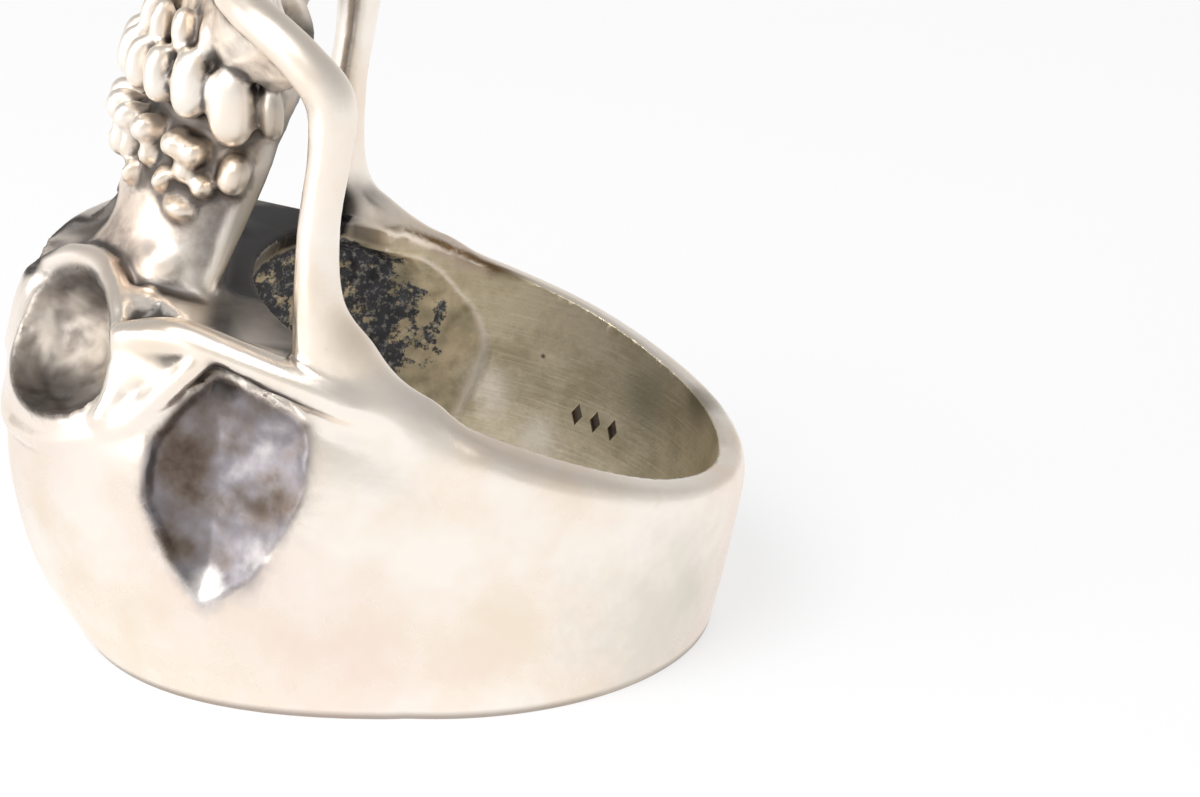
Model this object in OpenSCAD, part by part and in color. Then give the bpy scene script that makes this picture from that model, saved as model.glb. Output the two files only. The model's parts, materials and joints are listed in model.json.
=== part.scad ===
// Skull ring: one silver casting, lying on its side as it rests by itself.
// The finger hole points up and leans towards the back of the band. The crown is down, the jaw is up
// and the face looks along -Y. The parts are drawn upright round the finger hole and then leant over.

/* [Finger hole] */
// Inside radius of the finger hole
hole_r = 9.9; // [9.5:0.05:10.3]
// Lean of the finger hole from upright as the ring lies, in degrees
lean = 13; // [11:0.5:15]

/* [Band] */
// Outside radius at the back of the band
band_back_r = 11.25; // [11:0.05:11.6]
// Outside radius at the sides of the band
band_side_r = 11.55; // [11.3:0.05:11.9]
// Height of the upper rim at the back
rim_back_h = 10; // [9.4:0.1:10.6]
// Height of the upper rim at the sides
rim_side_h = 12.2; // [11.6:0.1:12.6]
// Width of the flat on the upper rim
rim_flat = 0.85; // [0.6:0.05:1]

/* [Cranium] */
// Half the width of the head at the temples
head_half_w = 11.6; // [11.4:0.05:11.9]
// Reach of the brow in front of the finger hole's axis
brow_reach = 20.4; // [19.8:0.1:20.8]
// Height of the brow's foremost point
brow_h = 7.6; // [7.2:0.1:8]

/* [Eyes and nose] */
// Half the distance between the eye sockets' centres
eye_x = 5.2; // [5:0.05:5.4]
// Height of the eye sockets' centres
eye_h = 10.1; // [9.8:0.1:10.4]
// Width of an eye socket
eye_w = 6.9; // [6.4:0.1:7.2]
// Height of an eye socket
eye_tall = 5.9; // [5.6:0.1:6.2]
// Thickness of the rim round an eye socket
eye_rim = 1.4; // [1.2:0.1:1.6]

/* [Jaws] */
// Height where the two rows of teeth meet
bite_h = 20.7; // [20.4:0.1:21]
// Half the width of the tooth arch
arch_half_w = 5; // [4.8:0.1:5.3]
// Depth of the tooth arch from front to back
arch_depth = 5.4; // [5.1:0.1:5.6]
// Teeth on each side of each jaw
teeth_per_side = 5; // [4:1:5]
// Height of the chin's lowest border
chin_h = 28.3; // [27.8:0.1:28.8]

/* [Hollow back] */
// Half the width of the recess behind the face
recess_half_w = 10.05; // [9.95:0.05:10.2]
// Reach of the recess in front of the finger hole's axis
recess_reach = 14.3; // [13.6:0.1:14.6]
// Height of the palate plate that closes the head under the jaws
plate_h = 13.4; // [13.2:0.1:13.7]
// Thickness of the palate plate
plate_t = 1; // [0.8:0.1:1.2]

/* [Hidden] */

silver = "#c9c3ba";
// Front and half width of the head are measured from here
head_y = -2;
// Centre of the tooth arch
arch_y = -12.6;
// Depth below the resting plane to which the casting is drawn before it is cut flat
under = 1.2;
// The casting's overall width
ring_w = 2*head_half_w;
// Where the finger hole's circle starts, clear of the corners of the band's sections
hole_start = 91.3;

// Value between rows of a table, smooth through the rows. Column 0 is the driving value.
function row_at(rows, t, i=0) = i >= len(rows) - 2 || t < rows[i + 1][0] ? i : row_at(rows, t, i + 1);
function slope(rows, i, c) =
    let(a = max(i - 1, 0), b = min(i + 1, len(rows) - 1))
    (rows[b][c] - rows[a][c])/(rows[b][0] - rows[a][0]);
function at(rows, t, c) =
    let(i = row_at(rows, t), p = rows[i], q = rows[i + 1], w = q[0] - p[0],
        u = min(max((t - p[0])/w, 0), 1), u2 = u*u, u3 = u2*u)
    (2*u3 - 3*u2 + 1)*p[c] + (u3 - 2*u2 + u)*w*slope(rows, i, c)
    + (3*u2 - 2*u3)*q[c] + (u3 - u2)*w*slope(rows, i + 1, c);

function signed_pow(v, n) = sign(v)*pow(abs(v), n);
function unit(v) = v/norm(v);

// Six times the volume inside a list of faces, negative where they face inwards
function turn_sum(points, faces) = let(parts = [for (f = faces, i = [1:len(f) - 2])
    points[f[0]]*cross(points[f[i]], points[f[i + 1]])]) parts*[for (v = parts) 1];
function flipped(faces) = [for (f = faces) [for (i = [len(f) - 1:-1:0]) f[i]]];

// Solid through a list of sections, each a closed ring of as many points
module skin(sections, closed=false) {
    m = len(sections);
    n = len(sections[0]);
    last = closed ? m : m - 1;
    points = [for (s = sections) each s];
    sides = [for (i = [0:last - 1], j = [0:n - 1])
        [i*n + j, i*n + (j + 1)%n, ((i + 1)%m)*n + (j + 1)%n, ((i + 1)%m)*n + j]];
    ends = closed ? [] : [[for (j = [n - 1:-1:0]) j], [for (j = [0:n - 1]) (m - 1)*n + j]];
    faces = concat(sides, ends);
    polyhedron(points=points, faces=turn_sum(points, faces) > 0 ? flipped(faces) : faces, convexity=6);
}

// Round bar along a path. Each row holds x, y, height, half thickness across x and half thickness along y
module bar(rows, steps, sides=10) {
    span = len(rows) - 1;
    keyed = [for (i = [0:span]) concat([i], rows[i])];
    function centre(t) = [for (c = [1:3]) at(keyed, t, c)];
    sections = [for (k = [0:steps])
        let(t = span*k/steps, p = centre(t), d = unit(centre(min(t + 0.05, span)) - centre(max(t - 0.05, 0))),
            side = unit(cross(d, abs(d[0]) > 0.9 ? [0, 0, 1] : [1, 0, 0])), out = cross(side, d),
            a = at(keyed, t, 4), b = at(keyed, t, 5))
        [for (j = [0:sides - 1]) let(w = 360*j/sides) p + b*cos(w)*side + a*sin(w)*out]];
    skin(sections);
}

module both_sides() {
    children();
    mirror([1, 0, 0]) children();
}

// Upper rim: angle from the back, height
rim_rows = [
    [-20, rim_back_h + 0.15],
    [0, rim_back_h],
    [40, rim_back_h + 0.6],
    [70, rim_back_h + 1.5],
    [90, rim_side_h],
    [106, rim_side_h + 1.1],
    [120, rim_side_h + 2.2]];

// The shank: a domed band whose upper rim climbs towards the head
module band() {
    reach = 119;
    steps = 48;
    swell = (band_side_r - band_back_r)/2;
    sections = [for (i = [0:steps])
        let(k = reach*(2*i/steps - 1), top = at(rim_rows, abs(k), 1),
            r = band_back_r + swell*(1 - cos(min(2*abs(k), 180))),
            low = r*cos(k)*tan(lean) - under, inner = hole_r - 0.7, lip = hole_r + rim_flat,
            profile = [[inner, low], [r - 0.25, low], [r, low + under + 1.2], [r + 0.1, (low + top)/2],
                [r - 0.02, top - 1.3], [(r + lip)/2 + 0.08, top - 0.45], [lip, top - 0.06], [inner, top]])
        [for (p = profile) [p[0]*sin(k), p[0]*cos(k), p[1]]]];
    skin(sections);
}

// Cranium: height, half width, reach in front of head_y, squareness of the plan
brow_deep = brow_reach + head_y;
head_rows = [
    [-7, 9.8, 9.2, 2],
    [-5, 11, 11.4, 2],
    [-3.4, 11.4, 13.1, 2],
    [-1, head_half_w, 15.6, 2.05],
    [2.4, head_half_w, brow_deep - 1.1, 2.15],
    [5.2, head_half_w, brow_deep - 0.4, 2.3],
    [brow_h, head_half_w, brow_deep, 2.45],
    [9.5, head_half_w - 0.2, brow_deep - 0.3, 2.4],
    [11.2, head_half_w - 0.6, brow_deep - 0.9, 2.2],
    [12.9, head_half_w - 1.5, brow_deep - 2.2, 2.1]];

module cranium() {
    sides = 44;
    sections = [for (h = [-6:1.575:12.9])
        let(w = at(head_rows, h, 1), deep = at(head_rows, h, 2), n = 2/at(head_rows, h, 3))
        [for (a = [0:360/sides:359])
            let(rear = sin(a) > 0, c = rear ? cos(a) : signed_pow(cos(a), n),
                d = rear ? 8*sin(a) : deep*signed_pow(sin(a), n))
            [w*c, head_y + d, h]]];
    skin(sections);
}

// Plate under the jaws that closes the head, set back from the finger hole
module palate_plate() {
    translate([0, 0, plate_h - plate_t]) linear_extrude(plate_t)
        translate([0, -6.2]) scale([10.5, 10.3]) circle(1, $fn=40);
}

module plate_edge() {
    translate([0, 0, plate_h - 2*plate_t]) intersection() {
        cylinder(h=3*plate_t, r=hole_r + 1.1, $fn=60);
        translate([-8.2, -12, 0]) cube([16.4, 12, 3*plate_t]);
    }
}

// Frame of an eye socket: its centre, turned outwards, with its outer corner towards the cheek
module at_eye() {
    translate([eye_x, -18.15, eye_h]) rotate([3, -9, 31]) children();
}

// Raised roll round the socket, thickest along the brow
module eye_roll() {
    sides = 8;
    turns = 24;
    sections = [for (a = [0:360/turns:359])
        let(r = eye_rim/2*(0.85 + 0.4*max(0, -sin(a))), out = unit([cos(a)/eye_w, 0, sin(a)/eye_tall]),
            c = [(eye_w/2 + 0.3)*cos(a), 0.2 - 0.4*cos(a)*cos(a), (eye_tall/2 + 0.4)*sin(a)])
        [for (w = [0:360/sides:359]) c + r*cos(w)*out - r*sin(w)*[0, 1, 0]]];
    at_eye() skin(sections, closed=true);
}

// Swelling of the skull that the roll stands on
module eye_mound() {
    at_eye() translate([0, 0.9, 0]) scale([eye_w/2 + 1.1, 2.3, eye_tall/2 + 1.1]) sphere(1, $fn=18);
}

module eye_socket() {
    at_eye() translate([0, -0.3, 0]) scale([eye_w/2, 3.1, eye_tall/2]) rotate([90, 7, 0]) sphere(1, $fn=18);
}

// Pear-shaped opening, narrow between the eyes and wide above the teeth
module nose() {
    both_sides() {
        translate([0.85, -18.9, 15.3]) rotate([12, 0, 0]) scale([1, 2.8, 1.35]) sphere(1, $fn=14);
        translate([0.35, -19.5, 13.9]) rotate([20, 0, 0]) scale([0.85, 2.4, 1.5]) sphere(1, $fn=14);
    }
}

// Bridge of the nose and its bones, between the eye sockets
module nose_bridge() {
    bar([[0, -19.3, 7.6, 1.5, 1.4], [0, -19.5, 10.2, 1.2, 1.1], [0, -19, 12.2, 1.15, 0.95],
         [0, -18.2, 13.2, 1.2, 0.6]], 7, 10);
}

// Cheekbone beside the eye, its upper border, and the arch that runs back from it to the band
module cheek() {
    bar([[3.4, -17.3, 13.3, 0.8, 1], [5.6, -16.6, 13.6, 0.9, 1], [7.6, -15.3, 13.4, 1, 1.1],
         [9, -13.4, 13.2, 0.9, 0.95], [9.9, -11, 13, 0.8, 0.8], [10.6, -8, 12.75, 0.8, 0.8],
         [10.85, -5.2, 12.3, 0.75, 0.85], [10.5, -3.2, 11.7, 0.35, 0.4]], 16, 8);
    translate([8.2, -14.5, 11]) rotate([0, 0, 33]) scale([2.2, 1.15, 2.4]) sphere(1, $fn=14);
}

// Upper jaw: height, half width, front reach, rear face
upper_rows = [
    [11.5, 6, 18.4, 13],
    [13.3, 5.4, 18.2, 12.9],
    [14.8, 4.8, 17.5, 12.6],
    [16.4, 4.6, 17.3, 12.2],
    [18.2, 4.7, 17.5, 11.7],
    [19.6, 4.6, 17.5, 11.4],
    [20.9, 4.4, 17.2, 11.2]];

module jaw_block(rows, low, high, count) {
    sides = 24;
    sections = [for (k = [0:count])
        let(h = low + (high - low)*k/count, w = at(rows, h, 1), deep = at(rows, h, 2) + arch_y,
            back = -at(rows, h, 3) - arch_y)
        [for (a = [0:360/sides:359])
            let(rear = sin(a) > 0, n = rear ? 0.5 : 0.92)
            [w*signed_pow(cos(a), n), arch_y + (rear ? back : deep)*signed_pow(sin(a), n), h]]];
    skin(sections);
}

module upper_jaw() {
    jaw_block(upper_rows, 11.5, 20.9, 7);
}

// Place on the tooth arch, counted outwards from the front
module on_arch(i, grow, h) {
    a = (i + 0.5)*88/teeth_per_side;
    w = arch_half_w + grow;
    d = arch_depth + grow;
    turn = atan2(w*cos(a), d*sin(a));
    translate([w*sin(a), arch_y - d*cos(a), h]) rotate([0, 0, 90 - turn]) children();
}

// Rounded form of a crown or a root, turned so that neighbours don't meet edge to edge
module tooth_form() {
    rotate([0, 0, 13]) sphere(1, $fn=7);
}

module upper_teeth() {
    both_sides() for (i = [0:teeth_per_side - 1]) {
        on_arch(i, -0.3, bite_h - 1.2) rotate([4, 0, 0]) scale([0.88, 0.8, 1.15]) tooth_form();
        on_arch(i, -0.5, bite_h - 3) scale([0.62, 0.6, 1.6]) tooth_form();
    }
}

// Knobs of bone above the upper roots
module upper_bumps() {
    both_sides() {
        translate([4.4, -14.7, 16.2]) scale([0.8, 0.9, 0.9]) sphere(1, $fn=8);
        translate([4.4, -15.4, 14.3]) scale([0.9, 0.9, 0.9]) sphere(1, $fn=8);
    }
}

// Lower jaw: height, half width, front reach, rear face
lower_rows = [
    [20.6, 4.3, 17.2, 11.2],
    [22, 4.5, 17.2, 10.8],
    [23, 4.4, 16.5, 10.7],
    [24, 4.3, 15.8, 11],
    [25.2, 4.2, 15.3, 12],
    [26.6, 3.6, 15.3, 13],
    [chin_h, 2.6, 15, 13.6]];

module lower_jaw() {
    jaw_block(lower_rows, 20.6, chin_h - 0.2, 6);
}

module lower_teeth() {
    both_sides() for (i = [0:teeth_per_side - 1]) {
        crown = (i < 2 ? 0.92 : 1.1)*[0.88, 0.85, 1.4];
        on_arch(i, -0.3, bite_h + 1.35) rotate([-8, 0, 0]) scale(crown) tooth_form();
        on_arch(i, -1.2, bite_h + 3.1) rotate([-26, 0, 0]) scale([0.6, 0.7, 1.5]) tooth_form();
    }
}

// Upright bar from the band to the jaw's corner, and the border from there to the chin
module jaw_bar() {
    bar([[9.9, -5.6, 11.2, 1.5, 2.3], [9.8, -6.9, 13.3, 1.4, 1.8], [9.8, -8.1, 15.8, 1, 1.1],
         [9.6, -8.8, 19, 0.85, 0.88], [9.5, -9, 22, 0.85, 0.9], [9.3, -9.4, 24.2, 0.9, 1.05],
         [9, -10.7, 25.4, 0.9, 0.95], [8.4, -12, 26.1, 0.9, 0.9], [7.2, -13.3, 26.5, 0.9, 0.9],
         [5.4, -14.3, 26.9, 1, 1], [3, -14.9, chin_h - 1.1, 1.1, 1.1], [-0.2, -15.1, chin_h - 1.1, 1.2, 1.2]],
        24, 8);
    translate([1.5, -15, chin_h - 1.6]) scale([1.5, 1, 1.4]) sphere(1, $fn=10);
}

// Body of the lower jaw. Each row holds a place on the border and one on the line of the roots
module jaw_body() {
    half = 0.7;
    rows = [[[9.1, -10.3, 25], [4.6, -11.6, 22.7]],
            [[8.4, -12, 26], [4.4, -12.9, 23]],
            [[7.2, -13.3, 26.4], [3.9, -14.1, 23.2]],
            [[5.4, -14.3, 26.8], [3, -15, 23.5]],
            [[3, -14.9, 27.1], [1.6, -15.5, 23.7]],
            [[-0.2, -15.1, 27.1], [-0.2, -15.7, 23.8]]];
    skin([for (r = rows)
        let(out = half*unit([r[0][0], r[0][1] - arch_y + 2, 0]))
        [r[0] + out, r[1] + out, r[1] - out, r[0] - out]]);
}

// Faceted hollow of the temple: its corners on the head, as x, y and height
temple_corners = [[9.1, -11.6, 12.1], [10.7, -7.6, 10.9], [11.3, -7.2, 8.2], [11.1, -8.3, 4.4],
                  [10.4, -10.2, 2.3], [10, -12, 3.8], [9.7, -13.5, 6], [9.7, -13.6, 8.7]];

module temple_hollow() {
    n = len(temple_corners);
    middle = [for (c = [0:2]) [for (p = temple_corners) p[c]]*[for (p = temple_corners) 1/n]];
    // The floor leans with the head, deeper towards the face
    function ring(grow, deep) = [for (p = temple_corners)
        let(q = middle + grow*(p - middle)) [q[0] - deep*(0.8 - 0.2*(q[1] - middle[1])), q[1], q[2]]];
    skin([ring(0.5, 1), ring(0.82, 0.65), ring(1.02, -0.2), ring(1.2, -2.5)]);
}

// Recess behind the face, open to the finger hole: height, centre, half width, half depth
function recess_rows() = let(front = -recess_reach, w = recess_half_w) [
    [-1, -9.5, w - 3.8, 3],
    [-0.2, -8, w - 1.7, 5],
    [0.8, -6.4, w - 0.5, 7.4],
    [2, -5, w - 0.1, -5 - front],
    [5, -4.8, w, -4.8 - front],
    [9, -4.8, w, -4.8 - front],
    [10.4, -5.2, w, -5.2 - front],
    [11.4, -7, w - 0.3, 6.9],
    [12.1, -8.4, w - 0.9, 5.4],
    [plate_h - plate_t, -9.4, w - 2, 4]];

module hollow_back() {
    sides = 28;
    count = 12;
    rows = recess_rows();
    low = rows[0][0];
    sections = [for (k = [0:count])
        let(h = low + (plate_h - plate_t - low)*k/count, y = at(rows, h, 1), w = at(rows, h, 2),
            deep = at(rows, h, 3))
        [for (a = [0:360/sides:359]) [w*signed_pow(cos(a), 0.9), y + deep*signed_pow(sin(a), 0.9), h]]];
    skin(sections);
}

// Space behind the teeth and under the tongue, open to the finger hole
module mouth() {
    bar([[0, -10.6, plate_h + 0.5, 2.6, 1.8], [0, -11, 16, 2.9, 2.6], [0, -11.2, 19, 2.9, 3.1],
         [0, -10.8, 22.5, 2.7, 3.1], [0, -10, 25.5, 2.4, 2.8], [0, -9.4, 30, 2.4, 2.6]], 9, 12);
}

// The whole casting before the finger hole is reamed
module casting() {
    difference() {
        union() {
            band();
            cranium();
            palate_plate();
            nose_bridge();
            upper_jaw();
            upper_teeth();
            upper_bumps();
            lower_jaw();
            lower_teeth();
            both_sides() {
                eye_mound();
                eye_roll();
                cheek();
                jaw_bar();
                jaw_body();
            }
        }
        both_sides() {
            eye_socket();
            temple_hollow();
        }
        nose();
        plate_edge();
        hollow_back();
        mouth();
    }
}

module finger_hole() {
    rotate([0, 0, hole_start]) translate([0, 0, -12]) cylinder(h=60, r=hole_r, $fn=96);
}

// The casting at its exact width, leant over, reamed round and set flat on its lower edge
module skull_ring() {
    color(silver) difference() {
        rotate([-lean, 0, 0]) resize([ring_w, 0, 0]) casting();
        rotate([-lean, 0, 0]) finger_hole();
        translate([-20, -30, -20]) cube([40, 60, 20]);
    }
}

skull_ring();
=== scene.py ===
import json
import math
import bmesh
import bpy
import numpy as np
from mathutils import Matrix, Vector, noise
from mathutils.bvhtree import BVHTree


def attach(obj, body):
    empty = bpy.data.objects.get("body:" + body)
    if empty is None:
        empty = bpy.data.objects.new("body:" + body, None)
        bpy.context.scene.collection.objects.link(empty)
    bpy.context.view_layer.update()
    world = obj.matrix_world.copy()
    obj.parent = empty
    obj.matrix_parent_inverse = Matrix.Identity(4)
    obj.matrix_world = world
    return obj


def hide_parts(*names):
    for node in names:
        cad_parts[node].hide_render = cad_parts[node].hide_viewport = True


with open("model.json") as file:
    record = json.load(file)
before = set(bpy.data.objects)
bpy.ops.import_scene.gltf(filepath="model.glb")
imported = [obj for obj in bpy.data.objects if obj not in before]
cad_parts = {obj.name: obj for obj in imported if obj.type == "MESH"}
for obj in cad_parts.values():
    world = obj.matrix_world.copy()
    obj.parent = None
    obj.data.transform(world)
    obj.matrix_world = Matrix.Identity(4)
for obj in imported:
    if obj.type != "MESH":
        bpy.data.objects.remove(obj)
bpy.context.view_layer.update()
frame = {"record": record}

# Shank. The real one is the finger band, sterling silver cast in one with the head and filed even.
# It is narrow at the back, and its upper rim climbs towards the head. All forms are drawn in
# millimetres, upright round the finger hole, and the finished casting is leant over at the end.
finger_hole = next(m for m in frame["record"]["mounts"] if m["name"] == "finger_bore")
hole_r = finger_hole["dims"]["r_mm"]
lean = math.atan2(finger_hole["axis"][1], finger_hole["axis"][2])
band_back_r = 11.25
band_side_r = 11.55
band_reach = 119
rim_flat = 0.85
rim_round = 0.22
shoulder = 1.3
# The wall is drawn a little inside the finger hole, and reamed to it at the end
to_ream = 0.06
below = 1.2
# The outer face swells a little between its edges, and the shoulder ends just under the crest
belly = 0.1
lip_drop = 0.06
shank_sections = 97
# Angle from the back in degrees, height of the upper rim
rim_rows = [(-20, 10.15), (0, 10), (40, 10.6), (70, 11.5), (90, 12.1), (104, 12.65), (120, 13.6)]
# The outer edge of the rim stands higher than the inner one where it climbs to the jaw
lip_rows = [(0, 0), (92, 0), (106, 0.35), (120, 0.7)]


def at(rows, place, column):
    """Value of a table's column at a place between its rows, smooth through the rows."""
    k = max(0, min(len(rows) - 2, sum(row[0] <= place for row in rows) - 1))

    def slope(i):
        a, b = rows[max(i - 1, 0)], rows[min(i + 1, len(rows) - 1)]
        return (b[column] - a[column]) / (b[0] - a[0])

    width = rows[k + 1][0] - rows[k][0]
    u = min(max((place - rows[k][0]) / width, 0), 1)
    start = (2 * u**3 - 3 * u**2 + 1) * rows[k][column] + (u**3 - 2 * u**2 + u) * width * slope(k)
    end = (3 * u**2 - 2 * u**3) * rows[k + 1][column] + (u**3 - u**2) * width * slope(k + 1)
    return float(start + end)


def pick(*pieces):
    """Only these pieces are selected, and the first of them is the active one."""
    bpy.ops.object.select_all(action="DESELECT")
    for piece in pieces:
        piece.select_set(True)
    bpy.context.view_layer.objects.active = pieces[0] if pieces else None


def loft(name, rings):
    """Skin through rings of as many points: the end face is extruded, and set on each next ring."""
    pick()
    bpy.ops.mesh.primitive_circle_add(vertices=len(rings[0]), fill_type="NGON")
    piece = bpy.context.object
    piece.name = name
    bpy.ops.object.mode_set(mode="EDIT")
    for count, ring in enumerate(rings):
        if count > 0:
            bpy.ops.mesh.extrude_region_move()
        shape = bmesh.from_edit_mesh(piece.data)
        end = next(face for face in shape.faces if face.select)
        for corner, place in zip(end.verts, ring):
            corner.co = place
        bmesh.update_edit_mesh(piece.data)
    bpy.ops.mesh.select_all(action="SELECT")
    bpy.ops.mesh.normals_make_consistent(inside=False)
    bpy.ops.object.mode_set(mode="OBJECT")
    return piece


shank_rings = []
for degrees in np.linspace(-band_reach, band_reach, shank_sections):
    turn = math.radians(degrees)
    top = at(rim_rows, abs(degrees), 1)
    outer = band_back_r + (band_side_r - band_back_r) / 2 * (1 - math.cos(min(2 * abs(turn), math.pi)))
    low = outer * math.cos(turn) * math.tan(lean) - below
    lip = hole_r + rim_flat
    inner = hole_r - to_ream
    crest = top + at(lip_rows, abs(degrees), 1)
    profile = [(inner, low), (outer, low)]
    for rise in (0.2, 0.4, 0.6, 0.8, 1):
        height = low + (crest - shoulder - low) * rise
        profile.append((outer + belly * math.sin(math.pi * rise), height))
    for part in (0.25, 0.5, 0.75, 1):
        bow = math.pi / 2 * part
        drop = lip_drop + (shoulder - lip_drop) * (1 - math.sin(bow))
        profile.append((lip + (outer - lip) * math.cos(bow), crest - drop))
    for part in (0, 1 / 3, 2 / 3, 1):
        bow = math.pi / 2 * part
        profile.append((inner + rim_round * (1 - math.sin(bow)), top - rim_round * (1 - math.cos(bow))))
    shank_rings.append([(r * math.sin(turn), r * math.cos(turn), h) for r, h in profile])
shank = loft("shank", shank_rings)

# Cranium. The real one is the skull's closed vault with forehead and temples, cast solid under the
# face and polished. Its crown is flat where the ring lies on it.
head_y = -2
head_low = -6
head_sections = 34
head_sides = 80
# Behind head_y the head is short at its top, where the palate closes it, and deeper below
vault_rear = 8
rear_edge = 0.3
rear_slope = 3
# Height, half width, reach in front of head_y, squareness of the plan
head_rows = [
    (-7, 9.8, 9.2, 2),
    (-5, 11, 11.4, 2),
    (-3.4, 11.4, 13.1, 2),
    (-1, 11.6, 15.6, 2.05),
    (2.4, 11.6, 17.3, 2.15),
    (5.2, 11.6, 18, 2.3),
    (7.6, 11.6, 18.4, 2.45),
    (9.5, 11.4, 18.1, 2.4),
    (11.2, 11, 17.5, 2.2),
    (12.9, 10.1, 16.2, 2.1),
]


def bulge(value, power):
    """Sine or cosine squared off by a power below 1, with its sign kept."""
    return math.copysign(abs(value) ** power, value)


cranium_rings = []
for height in np.linspace(head_low, head_rows[-1][0], head_sections):
    width, reach, square = (at(head_rows, height, c) for c in (1, 2, 3))
    ring = []
    behind = min(vault_rear, rear_edge + rear_slope * (head_rows[-1][0] - height))
    for step in range(head_sides):
        a = 2 * math.pi * step / head_sides
        if math.sin(a) > 0:
            ring.append((width * math.cos(a), head_y + behind * math.sin(a), height))
        else:
            x = width * bulge(math.cos(a), 2 / square)
            ring.append((x, head_y + reach * bulge(math.sin(a), 2 / square), height))
    cranium_rings.append(ring)
cranium = loft("cranium", cranium_rings)

# Palate. The real one is a thin floor under the jaws that closes the head, cast with it.
# It stops short of the finger hole, so that the hollow behind the face shows.
palate_h = 13.4
palate_t = 1
palate_y = -6.2
palate_half = (10.5, 10.3)
palate_middle_h = palate_h - palate_t / 2
pick()
bpy.ops.mesh.primitive_cylinder_add(vertices=80, radius=1, depth=palate_t,
                                    location=(0, palate_y, palate_middle_h))
palate = bpy.context.object
palate.name = "palate"
bpy.ops.transform.resize(value=(*palate_half, 1))
bpy.ops.object.transform_apply(location=True, rotation=True, scale=True)

# Eyes. The real sockets are deep bowls in the face, cast and then blackened inside. A roll of bone
# runs from beside the nose over each to the cheek, and a ridge under the brow, bright from polishing.
eye_place = Vector((4.9, -18.1, 10.2))
eye_turn = Matrix.Rotation(math.radians(34), 4, "Z") @ Matrix.Rotation(math.radians(-18), 4, "X")
at_eye = Matrix.Translation(eye_place) @ eye_turn
eye_w = 7.9
eye_tall = 5.9
eye_deep = 3.2


def ball(name, place, size, turn=(0, 0, 0), segments=24):
    """Rounded swelling: a ball of the given half sizes, turned about its middle in degrees."""
    pick()
    bpy.ops.mesh.primitive_uv_sphere_add(segments=segments, ring_count=segments * 2 // 3, radius=1)
    piece = bpy.context.object
    piece.name = name
    piece.scale = size
    piece.rotation_euler = [math.radians(a) for a in turn]
    piece.location = place
    bpy.ops.object.transform_apply(location=True, rotation=True, scale=True)
    return piece


def bone(name, rows, rings=24, sides=16):
    """Bar of bone through rows of x, y, height, half thickness across x, half thickness along y."""
    keyed = [(k, *row) for k, row in enumerate(rows)]
    last = len(rows) - 1

    def centre(t):
        return Vector(at(keyed, t, c) for c in (1, 2, 3))

    sections = []
    for t in np.linspace(0, last, rings):
        along = (centre(min(t + 0.05, last)) - centre(max(t - 0.05, 0))).normalized()
        side = along.cross(Vector((0, 0, 1)) if abs(along.x) > 0.9 else Vector((1, 0, 0))).normalized()
        out = side.cross(along)
        wide, deep = at(keyed, t, 4), at(keyed, t, 5)
        turns = [2 * math.pi * k / sides for k in range(sides)]
        sections.append([centre(t) + deep * math.cos(w) * side + wide * math.sin(w) * out for w in turns])
    return loft(name, sections)


eye_socket = ball("eye_socket", (0, -0.3, 0), (eye_w / 2, eye_deep, eye_tall / 2), segments=40)
eye_socket.data.transform(at_eye)
eye_roll = bone("eye_roll", [
    (0.5, -19.5, 11.6, 0.6, 0.7),
    (1.3, -19, 12.3, 0.5, 0.6),
    (2, -18.4, 12.9, 0.45, 0.55),
    (2.9, -17.6, 13.25, 0.45, 0.55),
    (4.1, -16.85, 13.35, 0.5, 0.6),
    (5.6, -16.2, 13.05, 0.55, 0.6),
    (7, -15.8, 12.2, 0.55, 0.6),
    (8, -15.5, 11, 0.55, 0.55),
    (8.6, -15.5, 9.6, 0.5, 0.5),
    (8.5, -15.8, 8.4, 0.45, 0.5),
], 60)
brow = bone("brow", [
    (0.2, -19.9, 6.2, 0.7, 0.5),
    (3, -19.6, 5.9, 0.7, 0.5),
    (5.4, -18.4, 6.2, 0.7, 0.55),
    (7.3, -16.8, 7, 0.65, 0.6),
    (8.6, -15.1, 8.4, 0.6, 0.6),
    (9.4, -13.8, 10.2, 0.5, 0.55),
    (9.9, -12.7, 12, 0.5, 0.5),
    (9.9, -12, 12.9, 0.4, 0.4),
], 60)

# Nose. The real one is a pear-shaped opening, narrow between the eyes and wide above the teeth,
# with the bridge standing over it. It is cast open and blackened inside.
nose_bridge = bone("nose_bridge", [
    (0, -19.3, 7.6, 1.5, 1.4),
    (0, -19.5, 10.2, 1.2, 1.1),
    (0, -19, 11.8, 1.3, 0.95),
    (0, -17.9, 13.4, 1.6, 0.7),
    (0, -17.4, 14.8, 1.3, 0.6),
])
nose_low = ball("nose_low", (0.65, -18.6, 13.9), (1, 2.6, 1.1), (34, 0, 0))
nose_high = ball("nose_high", (0.3, -19.4, 12.8), (0.75, 2.2, 1.2), (38, 0, 0))

# Cheekbones. The real ones are flat bright facets beside the eyes that run back as thin arches to
# the band. They are cast with the head, and polishing has left them the brightest places of the ring.
cheek = bone("cheek", [
    (7.7, -15.8, 11.9, 0.6, 0.7),
    (8.5, -14.5, 12.6, 0.75, 0.8),
    (9.2, -13.2, 13.05, 0.8, 0.85),
    (9.9, -11, 13, 0.8, 0.8),
    (10.6, -8, 12.75, 0.8, 0.8),
    (10.85, -5.2, 12.3, 0.75, 0.85),
    (10.5, -4, 11.9, 0.35, 0.4),
], 40)
cheek_corners = [
    (7.95, -16.1, 12.4),
    (8.95, -14.2, 13.4),
    (9.7, -13.1, 13.4),
    (9.95, -12.9, 12.6),
    (9.5, -14.1, 11.2),
    (9.1, -15, 10.5),
    (8.65, -15.7, 10.7),
]
cheek_out = Vector((0.82, -0.55, 0.14))
cheek_thick = 1.8
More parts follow.
